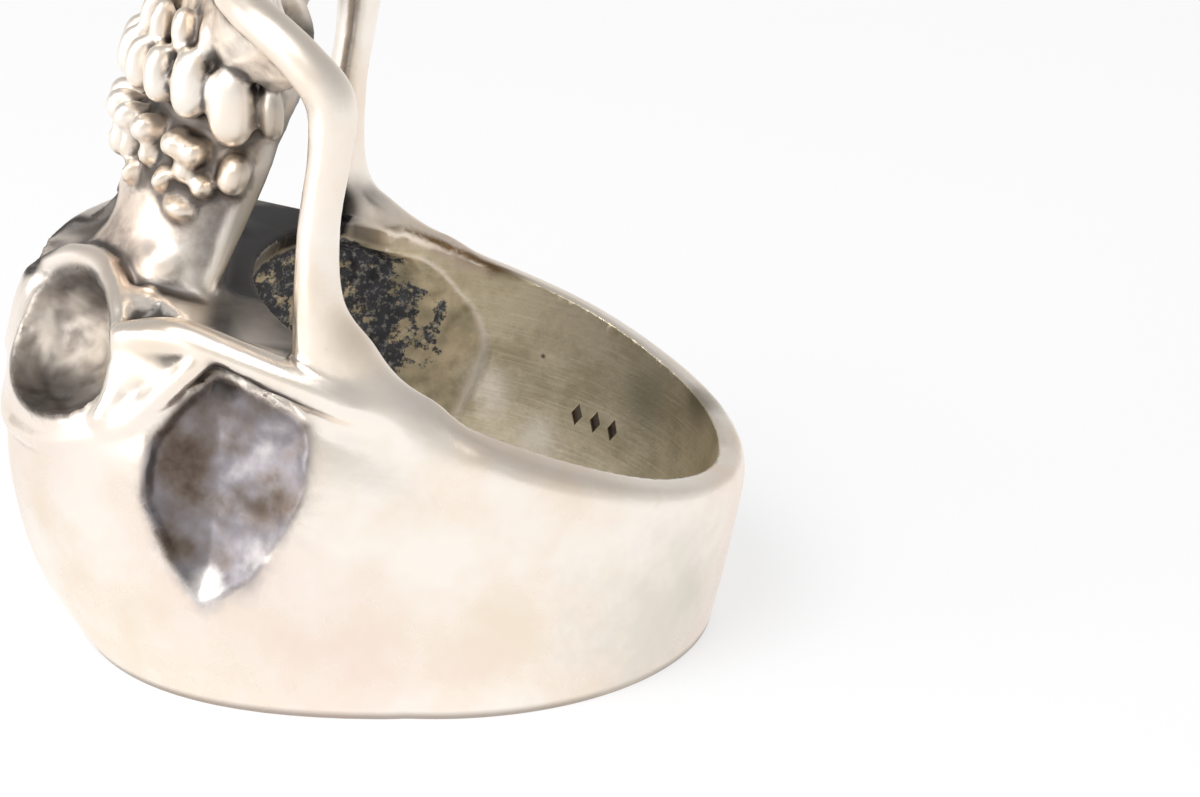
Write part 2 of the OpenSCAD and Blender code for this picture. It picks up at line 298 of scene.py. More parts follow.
# Under its flat face the slab spreads and drops a little, so that its edge comes out round
edge_spread = 1.08
edge_drop = 0.25
foot_spread = 1.1


def facet(name, corners, out, thick):
    """Slab of bone under a flat face: its corners, the way it faces and how deep it is sunk."""
    middle = sum((Vector(c) for c in corners), Vector()) / len(corners)
    top = [Vector(c) for c in corners]
    edge = [middle + edge_spread * (c - middle) - edge_drop * out for c in top]
    foot = [middle + foot_spread * (c - middle) - thick * out for c in top]
    return loft(name, [foot, edge, top])


cheek_face = facet("cheek_face", cheek_corners, cheek_out, cheek_thick)
cheek_bumps = [
    ball("cheek_bump", (5.8, -15.15, 12.95), (0.8, 0.7, 0.7)),
    ball("cheek_bump", (4.3, -14.75, 14.2), (0.8, 1, 0.8)),
]

# Upper jaw. The real one is the block of bone under the nose, cast solid at the front and open
# behind, where it stands on the palate.
arch_y = -12.6
arch_half_w = 5
arch_depth = 5.4
jaw_sections = 16
jaw_sides = 40
# The block's plan is nearly round in front and square at the rear
front_power = 0.92
rear_power = 0.5
# Height, half width, front reach, rear face
upper_rows = [
    (11.5, 6, 18.4, 12.4),
    (13.3, 5.4, 18.2, 12.3),
    (14.8, 4.8, 17.5, 12),
    (16.4, 4.5, 17.2, 11.6),
    (18.2, 4.4, 17.2, 11.2),
    (19.4, 4.3, 17.1, 11),
    (20.1, 3.9, 16.7, 10.9),
    (20.9, 3.9, 16.7, 10.8),
]


def jaw_block(name, rows, top):
    """Block of jaw bone from its first row up to a height: round in front, square at the rear."""
    sections = []
    for h in np.linspace(rows[0][0], top, jaw_sections):
        width, deep, rear = at(rows, h, 1), at(rows, h, 2) + arch_y, -at(rows, h, 3) - arch_y
        ring = []
        for step in range(jaw_sides):
            a = 2 * math.pi * step / jaw_sides
            behind = math.sin(a) > 0
            power = rear_power if behind else front_power
            reach = rear if behind else deep
            ring.append((width * bulge(math.cos(a), power), arch_y + reach * bulge(math.sin(a), power), h))
        sections.append(ring)
    return loft(name, sections)


upper_jaw = jaw_block("upper_jaw", upper_rows, upper_rows[-1][0])

# Teeth. The real ones are bare to their roots, cast with the jaws, each a little different, with
# black oxide left between them. Their crowns and the knobs of bone over the roots are rubbed bright.
crown_deep = 0.85
root_deep = 0.65
# Place on the arch in degrees from the front, height, half width, half height, lean in degrees
upper_crowns = [
    (9, 19.4, 0.55, 0.72, 0),
    (25, 19.4, 0.52, 0.66, 3),
    (41, 19.45, 0.58, 0.6, -4),
    (60, 19.4, 0.6, 0.56, 0),
    (70, 19.3, 0.5, 0.54, 0),
    (90, 18.8, 0.66, 0.86, 6),
]
upper_roots = [
    (9, 18, 0.45, 0.9, 0),
    (27, 18.2, 0.42, 0.7, 6),
    (44, 18.4, 0.42, 0.55, 10),
    (66, 18.35, 0.55, 0.52, 0),
    (55, 17.6, 0.4, 0.55, 14),
    (76, 17.9, 0.5, 0.48, 0),
    (67, 16.7, 0.7, 0.42, 8),
    (34, 17.2, 0.35, 0.6, 12),
]
lower_crowns = [
    (9, 21.8, 0.52, 1.15, 0),
    (25, 21.8, 0.52, 1.15, -6),
    (42, 21.85, 0.6, 1.25, -13),
    (60.5, 22, 0.78, 1.5, -8),
    (82, 21.6, 0.98, 1.7, -14),
    (101, 21.7, 0.5, 1.2, -14),
]
lower_roots = [
    (10, 23.5, 0.42, 1.1, -4),
    (28, 23.6, 0.42, 1.1, -12),
    (47, 23.8, 0.5, 1.1, -16),
    (64, 24, 0.5, 1, -14),
]


def on_arch(name, rows, deep, grow, square):
    """Rounded forms standing on the tooth arch, one for each row, boxy where square is below 1."""
    pieces = []
    for degrees, height, wide, tall, tip in rows:
        piece = ball(name, (0, 0, 0), (1, 1, 1))
        for corner in piece.data.vertices:
            corner.co = [half * bulge(c, square) for half, c in zip((wide, deep, tall), corner.co)]
        piece.data.transform(Matrix.Rotation(math.radians(tip), 4, "Y"))
        a = math.radians(degrees)
        across, along = arch_half_w + grow, arch_depth + grow
        turn = math.pi / 2 - math.atan2(across * math.cos(a), along * math.sin(a))
        place = Vector((across * math.sin(a), arch_y - along * math.cos(a), height))
        piece.data.transform(Matrix.Translation(place) @ Matrix.Rotation(turn, 4, "Z"))
        pieces.append(piece)
    return pieces


teeth = on_arch("upper_crown", upper_crowns, crown_deep, -0.3, 0.8)
teeth += on_arch("upper_root", upper_roots, root_deep, -0.48, 1)
teeth += on_arch("lower_crown", lower_crowns, crown_deep, -0.35, 0.8)
teeth += on_arch("lower_root", lower_roots, root_deep, -0.72, 1)
teeth += on_arch("jaw_bulge", [(81, 24.2, 1.05, 1.1, 0)], 1.1, -0.55, 1)

# Lower jaw. The real one is cast in one with the ring: its two uprights grow out of the band, and
# its border runs forward to the chin. It doesn't move.
chin_h = 28.3
# The block stays a little under the border of the jaw
border_drop = 0.2
lower_rows = [
    (20.2, 3.9, 16.7, 10.8),
    (21, 4, 16.8, 10.7),
    (22, 4.2, 16.8, 10.5),
    (23, 4.3, 16.4, 10.5),
    (24, 4.3, 15.8, 11),
    (25.2, 4.2, 15.3, 12),
    (26.6, 3.6, 15.3, 13),
    (28.3, 2.6, 15, 13.6),
]
lower_jaw = jaw_block("lower_jaw", lower_rows, chin_h - border_drop)
jaw_bar = bone("jaw_bar", [
    (9.3, -4.4, 8.6, 1, 2.6),
    (9.6, -5.5, 11.2, 1.4, 2.5),
    (9.7, -6.8, 13.3, 1.4, 2),
    (9.8, -8.1, 15.8, 1, 1.1),
    (9.6, -8.8, 19, 0.85, 0.88),
    (9.5, -9, 22, 0.85, 0.9),
    (9.3, -9.4, 24.2, 0.9, 1.05),
    (9, -10.7, 25.4, 0.9, 0.95),
    (8.4, -12, 26.1, 0.9, 0.9),
    (7.2, -13.3, 26.5, 0.9, 0.9),
    (5.4, -14.3, 26.9, 1, 1),
    (3, -14.9, 27.2, 1.1, 1.1),
    (-0.2, -15.1, 27.2, 1.2, 1.2),
], 60)
chin = ball("chin", (1.5, -15, chin_h - 1.6), (1.5, 1, 1.4))
jaw_half = 0.7
# The wall of the jaw faces away from a line up through this place
jaw_middle_y = arch_y - 2
# Places on the jaw's border and on the line of the roots
jaw_rows = [
    ((9.1, -10.3, 25), (4.6, -11.6, 22.7)),
    ((8.4, -12, 26), (4.4, -12.9, 23)),
    ((7.2, -13.3, 26.4), (3.9, -14.1, 23.2)),
    ((5.4, -14.3, 26.8), (3, -15, 23.5)),
    ((3, -14.9, 27.1), (1.6, -15.5, 23.7)),
    ((-0.2, -15.1, 27.1), (-0.2, -15.7, 23.8)),
]
jaw_rings = []
for border, roots in jaw_rows:
    border, roots = Vector(border), Vector(roots)
    out = Vector((border.x, border.y - jaw_middle_y, 0)).normalized() * jaw_half
    jaw_rings.append([border + out, roots + out, roots - out, border - out])
jaw_body = loft("jaw_body", jaw_rings)

# Temple hollows. The real ones are facets cut into the wax behind the eyes, blackened after
# casting and rubbed back to a violet grey.
temple_corners = [
    (9.1, -11.6, 12.1),
    (10.8, -7.4, 11.2),
    (11.3, -7.2, 8.2),
    (11.1, -8.3, 4.4),
    (10.4, -10.2, 2.3),
    (10, -12, 3.8),
    (9.7, -13.5, 6),
    (9.7, -13.6, 8.7),
]
temple_middle = sum((Vector(c) for c in temple_corners), Vector()) / len(temple_corners)
temple_depth = 0.8
temple_slant = 0.12


def temple_ring(grow, deep):
    """The hollow's corners drawn in or out, and sunk into the head, deeper towards the face."""
    ring = []
    for corner in temple_corners:
        place = temple_middle + grow * (Vector(corner) - temple_middle)
        place.x -= deep * (temple_depth - temple_slant * (place.y - temple_middle.y))
        ring.append(place)
    return ring


temple_hollow = loft("temple_hollow", [
    temple_ring(0.04, 1),
    temple_ring(0.35, 0.95),
    temple_ring(0.65, 0.78),
    temple_ring(0.86, 0.4),
    temple_ring(1.02, -0.2),
    temple_ring(1.2, -2.5),
])

# Hollow back. The real head is hollow behind the face to save silver, open to the finger hole,
# left rough from the mould and never polished.
recess_w = 10.1
recess_reach = 14.3
recess_sections = 40
recess_sides = 96
recess_rear_power = 0.5
recess_front_power = 0.9
# Height, centre, half width, half depth
recess_rows = [
    (-1, -9.5, recess_w - 3.8, 3),
    (-0.2, -8, recess_w - 1.7, 5),
    (0.8, -6.4, recess_w - 0.5, 7.4),
    (2, -5, recess_w - 0.2, recess_reach - 5),
    (5, -4.8, recess_w - 0.1, recess_reach - 4.8),
    (7.4, -4.8, recess_w - 0.02, recess_reach - 4.8),
    (9, -4.8, recess_w - 0.05, recess_reach - 4.8),
    (10.3, -5.2, recess_w - 0.18, recess_reach - 5.2),
    (11.3, -7, recess_w - 0.35, 6.9),
    (12, -8.4, recess_w - 0.9, 5.4),
    (palate_h - palate_t, -9.4, recess_w - 2, 4),
]
recess_rings = []
for height in np.linspace(recess_rows[0][0], recess_rows[-1][0], recess_sections):
    middle, width, deep = (at(recess_rows, height, c) for c in (1, 2, 3))
    ring = []
    for step in range(recess_sides):
        a = 2 * math.pi * step / recess_sides
        power = recess_rear_power if math.sin(a) > 0 else recess_front_power
        ring.append((width * bulge(math.cos(a), power), middle + deep * bulge(math.sin(a), power), height))
    recess_rings.append(ring)
recess = loft("recess", recess_rings)

# The palate's rear edge runs round the finger hole, between the two uprights of the lower jaw
palate_clear = 1.1
palate_cut_w = 16.4
palate_cut_long = 12
pick()
bpy.ops.mesh.primitive_cylinder_add(vertices=96, radius=hole_r + palate_clear, depth=3 * palate_t,
                                    location=(0, 0, palate_middle_h))
palate_edge = bpy.context.object
pick()
bpy.ops.mesh.primitive_cube_add(size=1, location=(0, -palate_cut_long / 2, palate_middle_h),
                                scale=(palate_cut_w, palate_cut_long, 4 * palate_t))
palate_reach = bpy.context.object

# The mouth is hollow behind the teeth
mouth = bone("mouth", [
    (0, -10.6, palate_h + 0.5, 2.6, 1.8),
    (0, -11, 16, 2.9, 2.6),
    (0, -11.2, 19, 2.9, 3.1),
    (0, -10.8, 22.5, 2.7, 3.1),
    (0, -10, 25.5, 2.4, 2.8),
    (0, -9.4, 30, 2.4, 2.6),
], 20, 24)

# Mark. A row of three plain lozenges, punched into the silver wall of the finger hole once the ring
# was cast. Tarnish is left dark in them.
mark_h = 6.5
mark_size = (0.55, 1.05)
mark_deep = 0.2
mark_turns = (296, 301.5, 307)
marks = []
for degrees in mark_turns:
    pick()
    bpy.ops.mesh.primitive_cylinder_add(vertices=4, radius=0.5, depth=2 * mark_deep)
    punch = bpy.context.object
    punch.data.transform(Matrix.Diagonal((mark_size[0], mark_size[1], 1, 1)))
    stand = Matrix.Rotation(math.radians(-degrees), 4, "Z") @ Matrix.Rotation(math.radians(90), 4, "X")
    punch.data.transform(Matrix.Translation((0, 0, mark_h)) @ stand @ Matrix.Translation((0, 0, -hole_r)))
    marks.append(punch)

# The casting. The forms are joined and melted together as in wax, the hollows are cut, the finger
# hole is reamed true and the lower edge is set flat, as the real one is once it is out of the mould.
wax_grain = 0.16
metal_grain = 0.13
face_limit = 175000
# The two cheek arches were carved by hand, and the one on the -X side lies lower
arch_drop = 1
# Rough skin of the mould: size and height of its lumps in the hollow back and in the sockets
sand_size = 0.7
sand_height = 0.09
socket_lump = 1.1
socket_height = 0.12
temple_lump = 2
temple_height = 0.12
smooth_angle = 32
# Where forms run into each other, the metal is filed smooth: the place, its reach and the strokes,
# each of which takes a corner this share of the way to the middle of its neighbours
file_bite = 0.6
filed_places = [
    ((10.4, -3.6, 12.5), 3.4, 60),
    ((9.1, -14.6, 11.6), 2.2, 14),
    ((4.4, -15, 14.2), 1.5, 25),
    ((5.8, -15.4, 13.1), 1.2, 18),
    ((8.9, -15, 10), 1.5, 40),
    ((0, -13.6, 28), 3, 30),
    ((2.6, -13.9, 28.1), 2.2, 60),
    ((4.6, -12.4, 13.3), 1.5, 20),
]


def finish_with(piece, kind, **settings):
    """Adds one modifier with its settings, and applies it."""
    pick(piece)
    change = piece.modifiers.new(kind.title(), kind)
    for key, value in settings.items():
        setattr(change, key, value)
    bpy.ops.object.modifier_apply(modifier=change.name)


def join(name, pieces):
    """Several pieces become one mesh."""
    pick(*pieces)
    bpy.ops.object.join()
    piece = bpy.context.object
    piece.name = name
    return piece


def cut(piece, tool):
    """Takes the tool's shape out of the piece. The tool stays in the scene."""
    finish_with(piece, "BOOLEAN", operation="DIFFERENCE", solver="MANIFOLD", object=tool)


def corners_of(piece):
    """The places and the normals of a mesh's corners."""
    places = np.empty(len(piece.data.vertices) * 3)
    piece.data.vertices.foreach_get("co", places)
    normals = np.empty(len(places))
    piece.data.vertex_normals.foreach_get("vector", normals)
    return places.reshape(-1, 3), normals.reshape(-1, 3)


def ease(value, low, high):
    """0 below low, 1 above high and a smooth step between them."""
    u = np.clip((value - low) / (high - low), 0, 1)
    return u * u * (3 - 2 * u)


def gap_to(tool, places):
    """How far each place is from the surface that a tool has cut."""
    tree = BVHTree.FromObject(tool, bpy.context.evaluated_depsgraph_get())
    return np.array([tree.find_nearest(Vector(place))[3] for place in places])


reamer_long = 60
reamer_middle = 18
bench_size = 80

# The forms of one side are mirrored, and all are melted together
halves = join("halves", [eye_roll, brow, cheek, cheek_face, *cheek_bumps, jaw_bar, jaw_body, chin, *teeth])
finish_with(halves, "MIRROR", use_mirror_merge=False)
casting = join("skull_ring_casting", [cranium, palate, nose_bridge, upper_jaw, lower_jaw, halves])
finish_with(casting, "REMESH", mode="VOXEL", voxel_size=wax_grain)
finish_with(casting, "SMOOTH", factor=0.5, iterations=2)

# The tools that cut the hollows, the finger hole and the flat foot
nose_hole = join("nose_hole", [nose_low, nose_high])
finish_with(nose_hole, "MIRROR", use_mirror_merge=False)
finish_with(nose_hole, "REMESH", mode="VOXEL", voxel_size=wax_grain)
finish_with(eye_socket, "MIRROR", use_mirror_merge=False)
finish_with(temple_hollow, "MIRROR", use_mirror_merge=False)
finish_with(palate_edge, "BOOLEAN", operation="INTERSECT", solver="MANIFOLD", object=palate_reach)
mark = join("mark", marks)
pick()
bpy.ops.mesh.primitive_cylinder_add(vertices=240, radius=hole_r - 2 * to_ream, depth=reamer_long,
                                    location=(0, 0, reamer_middle))
reamer = bpy.context.object
pick()
bpy.ops.mesh.primitive_cube_add(size=bench_size, location=(0, 0, -bench_size / 2))
bench = bpy.context.object
bpy.ops.object.transform_apply(location=True, rotation=True, scale=True)
bench.data.transform(Matrix.Rotation(lean, 4, "X"))
for tool in (eye_socket, temple_hollow, nose_hole, palate_edge, mouth, reamer):
    cut(casting, tool)


def drop_at(places):
    """How far the -X side's arch and eye are let down, for places as they are before it."""
    x, y, h = places.T
    behind_eye = ease(y, -15, -13.2)
    aside = ease(-x, 3 + 5.3 * behind_eye, 8 + 1.3 * behind_eye)
    in_front = ease(-y, 4, 7)
    at_eye_level = ease(h, 10.5, 12.5) * (1 - ease(h, 15, 20))
    return arch_drop * aside * in_front * at_eye_level


places = corners_of(casting)[0]
places[:, 2] -= drop_at(places)
casting.data.vertices.foreach_set("co", places.ravel())
finish_with(casting, "BOOLEAN", operation="UNION", solver="MANIFOLD", object=shank)
cut(casting, recess)
bpy.data.objects.remove(shank)
finish_with(casting, "REMESH", mode="VOXEL", voxel_size=metal_grain)
finish_with(casting, "SMOOTH", factor=0.5, iterations=7)

# Round the hollows and on the jaws the mesh stays fine, and elsewhere it is thinned
places = corners_of(casting)[0]
x, y, h = places.T
crisp = np.maximum.reduce([
    1 - ease(gap_to(temple_hollow, places), 0.3, 1),
    1 - ease(gap_to(recess, places), 0.3, 0.8),
    1 - ease(gap_to(eye_socket, places), 0.3, 0.8),
    ease(-y, 11, 12.5) * ease(h, 10, 12),
])
plain_metal = casting.vertex_groups.new(name="plain_metal")
for level in range(5):
    here = np.flatnonzero(np.round(4 * crisp) == level)
    plain_metal.add(here.tolist(), 1 - 0.2 * level, "REPLACE")
triangles = sum(len(face.vertices) - 2 for face in casting.data.polygons)
finish_with(casting, "DECIMATE", ratio=min(1, face_limit / triangles), vertex_group=plain_metal.name,
            vertex_group_factor=0.001)


def neighbour_mean(piece, values):
    """For each corner of a mesh, the mean of the values at the corners it shares an edge with."""
    ends = np.empty(len(piece.data.edges) * 2, int)
    piece.data.edges.foreach_get("vertices", ends)
    one, other = ends.reshape(-1, 2).T
    size = len(values)
    count = np.bincount(one, minlength=size) + np.bincount(other, minlength=size)
    sums = [np.bincount(one, v[other], size) + np.bincount(other, v[one], size) for v in values.T]
    return np.stack(sums, 1) / count[:, None]


places = corners_of(casting)[0]
for place, reach, strokes in filed_places:
    beside = np.abs(places * (1, 0, 0)) + places * (0, 1, 1) - place
    filed = (1 - ease(np.linalg.norm(beside, axis=1), reach / 3, reach))[:, None]
    for _ in range(strokes):
        places += file_bite * filed * (neighbour_mean(casting, places) - places)
casting.data.vertices.foreach_set("co", places.ravel())
casting.data.update()
places, normals = corners_of(casting)
# How often the drop is worked out again, as it depends on the place before it
settle_passes = 4


def as_cut(places):
    """The places as they were when the sockets were cut, before the -X side was let down."""
    before = places.copy()
    for _ in range(settle_passes):
        before[:, 2] = places[:, 2] + drop_at(before)
    return before


in_socket = 1 - ease(gap_to(eye_socket, as_cut(places)), 0.1, 0.3)
in_temple = 1 - ease(gap_to(temple_hollow, as_cut(places)), 0.05, 0.2)
in_hollow = 1 - ease(gap_to(recess, places), 0.15, 0.3)
in_hollow *= ease(np.hypot(places[:, 0], places[:, 1]) - hole_r, 0.05, 0.4)
for zone, lump_size, lump_height in [
    (in_socket, socket_lump, socket_height),
    (in_temple, temple_lump, temple_height),
    (in_hollow, sand_size, sand_height),
]:
    for index in np.flatnonzero(zone > 0):
        lump = noise.fractal(Vector(places[index] / lump_size), 0.75, 2, 3)
        places[index] += normals[index] * lump * lump_height * zone[index]
casting.data.vertices.foreach_set("co", places.ravel())

# Last the finger hole is reamed to its true size, the foot is set flat and the mark is punched
reamer_low = -14
reamer_top = 32
reamer_sections = 100
reamer_rings = []
for height in np.linspace(reamer_low, reamer_top, reamer_sections):
    reamer_rings.append([(hole_r * math.sin(math.radians(a)), hole_r * math.cos(math.radians(a)), height)
                         for a in range(360)])
fine_reamer = loft("fine_reamer", reamer_rings)
for tool in (fine_reamer, bench, mark):
    cut(casting, tool)
pick(casting)
bpy.ops.object.shade_smooth_by_angle(angle=math.radians(smooth_angle))

# Finish. The real ring was blackened all over and then polished, so that black oxide stays in the
# sockets and between the teeth, and the finger hole and the hollow back have tarnished by wear.
# Each kind of surface is marked on the mesh, and the metal reads the marks. Some marks carry painted shade
# and painted reflection besides the oxide.
polish_reach = 16
# How far a painted reflection lightens the oxide across the middle of each socket
socket_sheen = 0.55
nose_dark = 0.95
# Lumps on a hollow's floor stand no higher than this over the form that cut it
lump_limit = 0.4
# Passes that soften the edge of the violet oxide
temple_blend = 2
places, normals = corners_of(casting)
rubbed = places.copy()
for _ in range(polish_reach):
    rubbed = neighbour_mean(casting, rubbed)
sunk = ((rubbed - places) * normals).sum(1)
x, y, h = places.T
radius = np.hypot(x, y)
out_of_hole = radius - hole_r
before = as_cut(places)
to_recess = gap_to(recess, places)
to_mark = gap_to(mark, places)
turned = np.degrees(np.arccos(y / radius))
rim_here = np.array([at(rim_rows, a, 1) for a in np.clip(turned, 0, 120)])
tarnish_top = rim_here - 0.8 * ease(turned, 88, 100)
on_hole = (1 - ease(np.abs(out_of_hole), 0.02, 0.06)) * (1 - ease(h - tarnish_top, 0, 0.25))
rim_line = ease(turned, 80, 95) * (1 - ease(np.abs(out_of_hole), 0.1, 0.3))
rim_line *= 1 - ease(np.abs(h - rim_here + 0.1), 0.08, 0.25)
mark_here = (1 - ease(to_mark, 0.02, 0.06)) * ease(out_of_hole, 0.03, 0.1)
rough_cast = (1 - ease(to_recess, 0.15, 0.4)) * ease(out_of_hole, 0.03, 0.12) * (1 - mark_here)

# Black oxide stays in the gaps between the teeth. Behind the face the palate's top and the faces turned
# inward under the arches get painted shade, which goes black where it stands for the open hollow
face_zone = ease(-y, 9, 11) * ease(h, 10, 11.5)
gaps = ease(sunk, 0.006, 0.06) * face_zone
behind_face = (1 - ease(-y, 12, 13.2)) * ease(h, 10, 11) * (1 - ease(h, 14.2, 15.2))
inward = ease(-normals[:, 0] * np.sign(x), 0, 0.5) * ease(-y, 6.5, 8)
to_arch = np.abs(x) - (9.7 + 0.32 * np.minimum(y + 8, 0))
palate_top = ease(normals[:, 2], 0.4, 0.75) * (1 - ease(to_arch, -0.4, 0.2)) * ease(-y, 5.5, 7.5)
# Painted shade behind the face: the palate's top and the inward faces there are darkened
shaded = behind_face * np.maximum(palate_top, inward)
# Towards the open hollow beyond the palate, the painted shade is made fully black
near_hollow = (1 - ease(x, 2, 6)) * (1 - ease(to_arch, -1.5, -0.8))
on_jaws = 1 - ease(np.abs(x), 5.8, 6.6)
# The rear faces of the jaws are made darker
jaw_rear = ease(y, -12.9, -11.9) * ease(h, 13.6, 15) * (1 - ease(h, 23.5, 25)) * on_jaws
socket = 1 - ease(gap_to(eye_socket, before), 0.15, 0.4)


def beyond(tool, places):
    """How far each place lies outside a tool's form: 0 for the lumps that stand out within it."""
    tree = BVHTree.FromObject(tool, bpy.context.evaluated_depsgraph_get())
    distances = []
    for place in places:
        near, out, _, distance = tree.find_nearest(Vector(place))
        stands_out = distance < lump_limit and (Vector(place) - near).dot(out) < 0
        distances.append(0 if stands_out else distance)
    return np.array(distances)


temple = (1 - ease(beyond(temple_hollow, before), 0.1, 0.18)) * ease(np.abs(x), 7, 8)
for _ in range(temple_blend):
    temple = neighbour_mean(casting, temple[:, None])[:, 0]
# The rear half of the upper jaw is made darker, all but its raised knobs
flank = ease(y, -15.2, -12.6) * ease(h, 12.8, 14) * (1 - ease(h, 19, 20.5)) * (1 - ease(-sunk, 0, 0.04))
flank *= on_jaws
# Painted reflection: a lighter band across the middle of each eye socket
sheen_band = ease(h, 7.4, 9) * (1 - ease(h, 10.2, 11.8))
oxide_and_shade = np.maximum.reduce([
    # Eye sockets, black, with a painted reflection lightening their middle
    socket * (0.9 - socket_sheen * sheen_band),
    nose_dark * (1 - ease(gap_to(nose_hole, before), 0.1, 0.45)),
    (1 - ease(gap_to(mouth, places), 0.15, 1.5)) * (1 - ease(h, 23, 24.5)),
    0.9 * gaps,
    # Painted shade behind the face, fully black towards the open hollow
    (0.93 + 0.4 * near_hollow) * shaded,
    0.75 * flank,
    # Painted shade on the down-facing walls of the temple hollows, under the cheek arches
    0.6 * temple * ease(-normals[:, 2], 0.25, 0.6),
    0.5 * jaw_rear,
    0.75 * mark_here,
])
marks_on_mesh = {
    "oxide_and_shade": oxide_and_shade * (1 - rough_cast),
    "film": ease(sunk, 0.01, 0.16),
    "bore": on_hole,
    "cast": rough_cast,
    "depth": np.clip(out_of_hole, 0, 4) * rough_cast,
    "socket": socket,
    "jaws": ease(-y, 9, 11) * ease(h, 13, 14.5),
    "grime": ease(-y, 9, 11) * ease(h, 13, 14.5) * (1 - ease(-sunk, 0, 0.04)),
    "rim_line": rim_line,
    "temple": temple,
    # Painted shade across the temple hollows: lower, and so darker, towards the top and the face
    "temple_shading": np.clip(0.5 + 0.09 * (y - temple_middle.y) - 0.05 * (h - temple_middle.z), 0, 1),
}
for name, values in marks_on_mesh.items():
    layer = casting.data.attributes.new(name, "FLOAT", "POINT")
    layer.data.foreach_set("value", values.astype(np.float32))
casting.data.transform(Matrix.Scale(0.001, 4) @ Matrix.Rotation(-lean, 4, "X"))
for tool in (eye_socket, temple_hollow, nose_hole, palate_edge, palate_reach, recess, mouth, mark,
             reamer, fine_reamer, bench):
    bpy.data.objects.remove(tool)


def linear(hex_colour):
    """sRGB hex colour as linear RGBA."""
    parts = [int(hex_colour[k:k + 2], 16) / 255 for k in (1, 3, 5)]
    return (*[p / 12.92 if p <= 0.04045 else ((p + 0.055) / 1.055) ** 2.4 for p in parts], 1)


def add(tree, kind, settings=(), links=()):
    """One node with its settings, by attribute or by socket, and the outputs that feed its sockets."""
    node = tree.nodes.new(kind)
    for key, value in dict(settings).items():
        if isinstance(key, str) and hasattr(node, key):
            setattr(node, key, value)
        else:
            node.inputs[key].default_value = value
    for key, output in dict(links).items():
        tree.links.new(output, node.inputs[key])
    return node


# Sterling silver, cast, polished and tarnished. Polished silver is a nearly white mirror, a little
# cream from thin tarnish and softened by fine wear. Oxide is a charcoal skin that still shines faintly.
silver = bpy.data.materials.new("sterling_silver_cast_and_polished")
silver.use_nodes = True
tree = silver.node_tree
shader = tree.nodes["Principled BSDF"]
shader.inputs["Metallic"].default_value = 1
object_place = add(tree, "ShaderNodeTexCoord").outputs["Object"]
mm = add(tree, "ShaderNodeMapping", {"Rotation": (lean, 0, 0), "Scale": (1000, 1000, 1000)},
         {"Vector": object_place}).outputs["Vector"]
mesh_mark = {name: add(tree, "ShaderNodeAttribute", {"attribute_name": name}).outputs["Fac"]
             for name in marks_on_mesh}

# Polished outside: clouds of thin warm tarnish a few millimetres across, and a film in the low places
cloud = add(tree, "ShaderNodeTexNoise", {"Scale": 0.2, "Detail": 4, "Roughness": 0.55}, {"Vector": mm})
cloud_step = add(tree, "ShaderNodeMapRange", {"From Min": 0.38, "From Max": 0.64},
                 {"Value": cloud.outputs["Fac"]})
polished = add(tree, "ShaderNodeMix", {"data_type": "RGBA", 6: linear("#fbf3e9"), 7: linear("#f3e4d2")},
               {0: cloud_step.outputs["Result"]})
blush = add(tree, "ShaderNodeTexNoise", {"Scale": 0.11, "Detail": 2}, {"Vector": mm})
blush_step = add(tree, "ShaderNodeMapRange", {"From Min": 0.5, "From Max": 0.75, "To Max": 0.4},
                 {"Value": blush.outputs["Fac"]})
polished = add(tree, "ShaderNodeMix", {"data_type": "RGBA", 7: linear("#f6e0d8")},
               {0: blush_step.outputs["Result"], 6: polished.outputs[2]})
film_part = add(tree, "ShaderNodeMath", {"operation": "MULTIPLY", 1: 0.65}, {0: mesh_mark["film"]})
polished = add(tree, "ShaderNodeMix", {"data_type": "RGBA", 7: linear("#7f6f64")},
               {0: film_part.outputs[0], 6: polished.outputs[2]})
grime = add(tree, "ShaderNodeTexNoise", {"Scale": 0.8, "Detail": 4, "Roughness": 0.6}, {"Vector": mm})
grime_step = add(tree, "ShaderNodeMapRange", {"From Min": 0.4, "From Max": 0.64, "To Max": 0.65},
                 {"Value": grime.outputs["Fac"]})
grime_part = add(tree, "ShaderNodeMath", {"operation": "MULTIPLY"},
                 {0: mesh_mark["grime"], 1: grime_step.outputs["Result"]})
polished = add(tree, "ShaderNodeMix", {"data_type": "RGBA", 7: linear("#a09087")},
               {0: grime_part.outputs[0], 6: polished.outputs[2]})

# Temple hollows: patches of violet, grey and brown oxide a millimetre or two across, under painted shade that
# darkens them towards the top and towards the face
blotch = add(tree, "ShaderNodeTexNoise", {"Scale": 0.4, "Detail": 4, "Roughness": 0.55},
             {"Vector": mm})
# Painted shade shifts the hollow's tones darker towards its top and towards the face
shading_shift = add(tree, "ShaderNodeMapRange", {"To Min": -0.13, "To Max": 0.13},
                 {"Value": mesh_mark["temple_shading"]})
temple_sum = add(tree, "ShaderNodeMath", {"operation": "ADD"},
                 {0: blotch.outputs["Fac"], 1: shading_shift.outputs["Result"]})
temple_ramp = add(tree, "ShaderNodeValToRGB", {}, {"Fac": temple_sum.outputs[0]})
temple_tones = [(0.26, "#54483f"), (0.38, "#71655d"), (0.48, "#837b79"), (0.58, "#8d888c"), (0.72, "#aca7a6")]
while len(temple_ramp.color_ramp.elements) < len(temple_tones):
    temple_ramp.color_ramp.elements.new(0.5)
for stop, (place, tone) in zip(temple_ramp.color_ramp.elements, temple_tones):
    stop.position = place
    stop.color = linear(tone)
metal = add(tree, "ShaderNodeMix", {"data_type": "RGBA"},
            {0: mesh_mark["temple"], 6: polished.outputs[2], 7: temple_ramp.outputs["Color"]})

